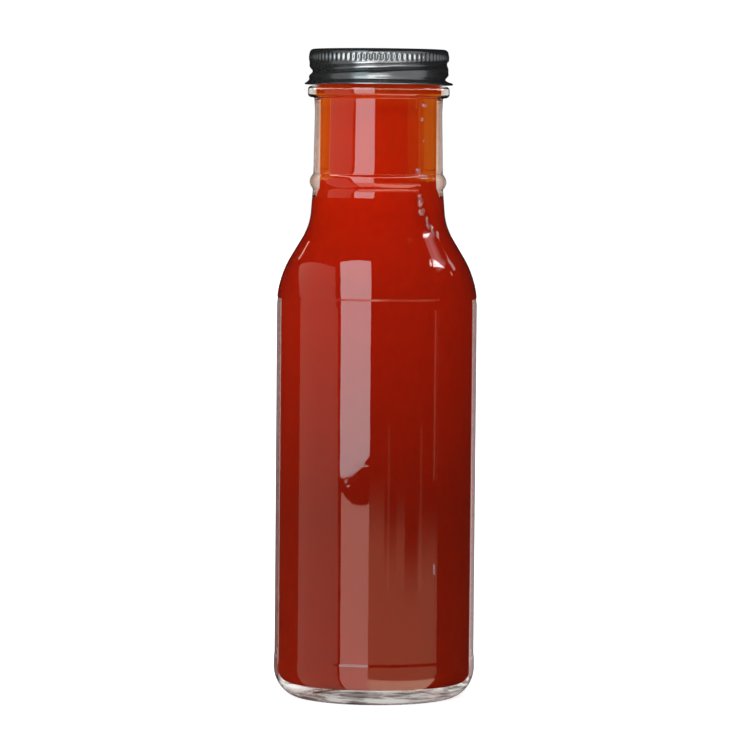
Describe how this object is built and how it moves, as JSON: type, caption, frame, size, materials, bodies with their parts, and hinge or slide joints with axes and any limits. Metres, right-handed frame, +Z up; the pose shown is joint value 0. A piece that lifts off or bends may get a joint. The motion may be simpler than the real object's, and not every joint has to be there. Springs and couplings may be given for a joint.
{
  "type": "sauce bottle",
  "caption": "Round ring-neck glass bottle with a recessed label panel and sloping shoulders, filled with red sauce and closed by a threaded metal screw cap.",
  "frame": {"origin": "centre of the base, at the level of the ring the bottle stands on", "axes": "+Z up along the bottle's axis, from the base to the cap; -Y faces the picture's camera"},
  "size_m": [0.056, 0.056, 0.1803],
  "materials": {
    "clear_glass": "smooth clear moulded glass, a few mould marks on the base",
    "red_sauce": "thick smooth orange-red sauce, wet and slightly translucent; stands in for food",
    "gunmetal_coating": "dark grey satin metallic lacquer on thin pressed steel"
  },
  "bodies": {
    "root": {"bottle_glass": "clear_glass", "sauce": "red_sauce", "screw_cap": "gunmetal_coating"}
  },
  "joints": []
}
